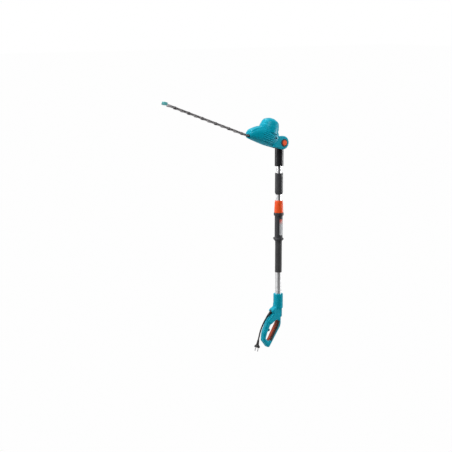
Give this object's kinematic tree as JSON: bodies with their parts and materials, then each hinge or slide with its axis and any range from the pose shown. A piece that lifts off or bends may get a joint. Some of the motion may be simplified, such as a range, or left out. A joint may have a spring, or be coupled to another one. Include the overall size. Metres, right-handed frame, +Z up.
{
  "type": "pole hedge trimmer",
  "caption": "Telescoping pole hedge trimmer with a D-shaped trigger handle, foam grip, tilting geared motor head and a long double-sided reciprocating blade.",
  "frame": {"origin": "on the pole's axis, at the middle of the foam grip that the leading hand holds", "axes": "+Z up the pole to the cutting head, -X to the side the blade points to, Y along the head's tilt axis"},
  "size_m": [0.7005, 0.096, 1.2265],
  "materials": {
    "tube_silver": "drawn, satin anodised tube",
    "teal": "moulded, fine texture",
    "dark_grey": "moulded, matt",
    "black": "moulded, matt",
    "orange": "moulded, satin",
    "trigger_red": "moulded, satin",
    "guard_teal": "moulded, matt",
    "soft_black": "soft, matt",
    "soft_brown": "soft, matt",
    "label": "printed film, blank",
    "cord": "matt cable sheath",
    "steel": "ground",
    "blade_steel": "ground, laser cut",
    "bar_alloy": "rolled",
    "screw": "blackened",
    "copper": "enamelled winding",
    "iron": "laminated core",
    "carbon": "pressed carbon",
    "brass": "machined",
    "plate_alloy": "die cast"
  },
  "bodies": {
    "grip_pole": {"outer_tube": "tube_silver", "foam_grip": "soft_black", "strap_ring": "dark_grey", "guide_sleeve": "dark_grey", "side_label": "label", "clamp_base": "dark_grey", "handle_shell_near": "teal", "handle_shell_far": "teal", "handle_soft_grip": "soft_brown", "handle_screws": "screw", "cable_hook": "black", "cord_gland": "cord", "power_cord": "cord", "plug_body": "cord", "plug_pins": "steel", "trigger_pin": "steel", "trigger_spring": "steel", "lock_off_spring": "steel", "switch_module": "black", "coiled_lead": "cord"},
    "clamp_collar": {"clamp_collar": "orange"},
    "trigger": {"trigger": "trigger_red"},
    "lock_off": {"lock_off_button": "orange"},
    "inner_pole": {"inner_tube": "tube_silver", "slide_bush": "dark_grey", "coupling_sleeve": "dark_grey", "coupling_nut": "dark_grey", "head_tube": "tube_silver", "neck_sleeve": "black", "neck_screws": "screw", "hinge_core": "black", "lock_discs": "steel"},
    "head": {"head_shell_near": "teal", "head_shell_far": "teal", "motor_hood": "teal", "head_screws": "screw", "gearcase_plate": "plate_alloy", "gearcase_cover": "plate_alloy", "stator": "iron", "field_windings": "copper", "brush_holders": "brass", "carbon_brushes": "carbon", "motor_bearings": "steel", "gear_bearings": "steel", "guide_bar": "bar_alloy", "blade_screws": "screw", "tip_guard": "guard_teal", "hinge_rims": "soft_black", "release_springs": "steel", "pivot_pin": "steel"},
    "armature": {"armature_shaft": "steel", "armature_core": "iron", "commutator": "copper", "cooling_fan": "black"},
    "gear": {"drive_gear": "steel", "eccentric_shaft": "steel"},
    "blade_upper": {"blade_upper": "blade_steel"},
    "blade_lower": {"blade_lower": "blade_steel"},
    "release_near": {"release_button_near": "orange"},
    "release_far": {"release_button_far": "orange"}
  },
  "joints": [
    {"name": "collar_turn", "type": "hinge", "parent": "grip_pole", "child": "clamp_collar", "pos_m": [0, 0, 0.244], "axis": [0, 0, 1], "range_deg": [0, 90]},
    {"name": "trigger_pull", "type": "hinge", "parent": "grip_pole", "child": "trigger", "pos_m": [-0.0585, 0, -0.4105], "axis": [0, 1, 0], "range_deg": [0, 4.5], "stiffness_Nm_per_rad": 4, "springref_deg": -2.86, "deforming": ["trigger_spring"]},
    {"name": "lock_off_press", "type": "slide", "parent": "grip_pole", "child": "lock_off", "axis": [0, -1, 0], "range_m": [0, 0.0025], "stiffness_N_per_m": 800, "springref_m": -0.003, "deforming": ["lock_off_spring"]},
    {"name": "pole_slide", "type": "slide", "parent": "grip_pole", "child": "inner_pole", "axis": [0, 0, 1], "range_m": [0, 0.3], "deforming": ["coiled_lead"]},
    {"name": "head_tilt", "type": "hinge", "parent": "inner_pole", "child": "head", "pos_m": [0, 0, 0.553], "axis": [0, 1, 0], "range_deg": [-10, 130]},
    {"name": "armature_spin", "type": "hinge", "parent": "head", "child": "armature", "pos_m": [-0.07893, 0, 0.58173], "axis": [0.342, 0, 0.9397], "continuous": true},
    {"name": "gear_spin", "type": "hinge", "parent": "head", "child": "gear", "pos_m": [-0.11276, 0, 0.59404], "axis": [0.342, 0, 0.9397], "continuous": true},
    {"name": "upper_blade_stroke", "type": "slide", "parent": "head", "child": "blade_upper", "axis": [-0.9397, 0, 0.342], "range_m": [0, 0.02]},
    {"name": "lower_blade_stroke", "type": "slide", "parent": "head", "child": "blade_lower", "axis": [-0.9397, 0, 0.342], "range_m": [-0.02, 0]},
    {"name": "release_near_press", "type": "slide", "parent": "head", "child": "release_near", "axis": [0, 1, 0], "range_m": [0, 0.004], "stiffness_N_per_m": 900, "springref_m": -0.004, "deforming": ["release_springs"]},
    {"name": "release_far_press", "type": "slide", "parent": "head", "child": "release_far", "axis": [0, -1, 0], "range_m": [0, 0.004], "stiffness_N_per_m": 900, "springref_m": -0.004}
  ],
  "couplings": [
    {"joint": "gear_spin", "follows": "armature_spin", "ratio": -0.125},
    {"joint": "lower_blade_stroke", "follows": "upper_blade_stroke", "ratio": -1},
    {"joint": "release_far_press", "follows": "release_near_press", "ratio": 1}
  ]
}
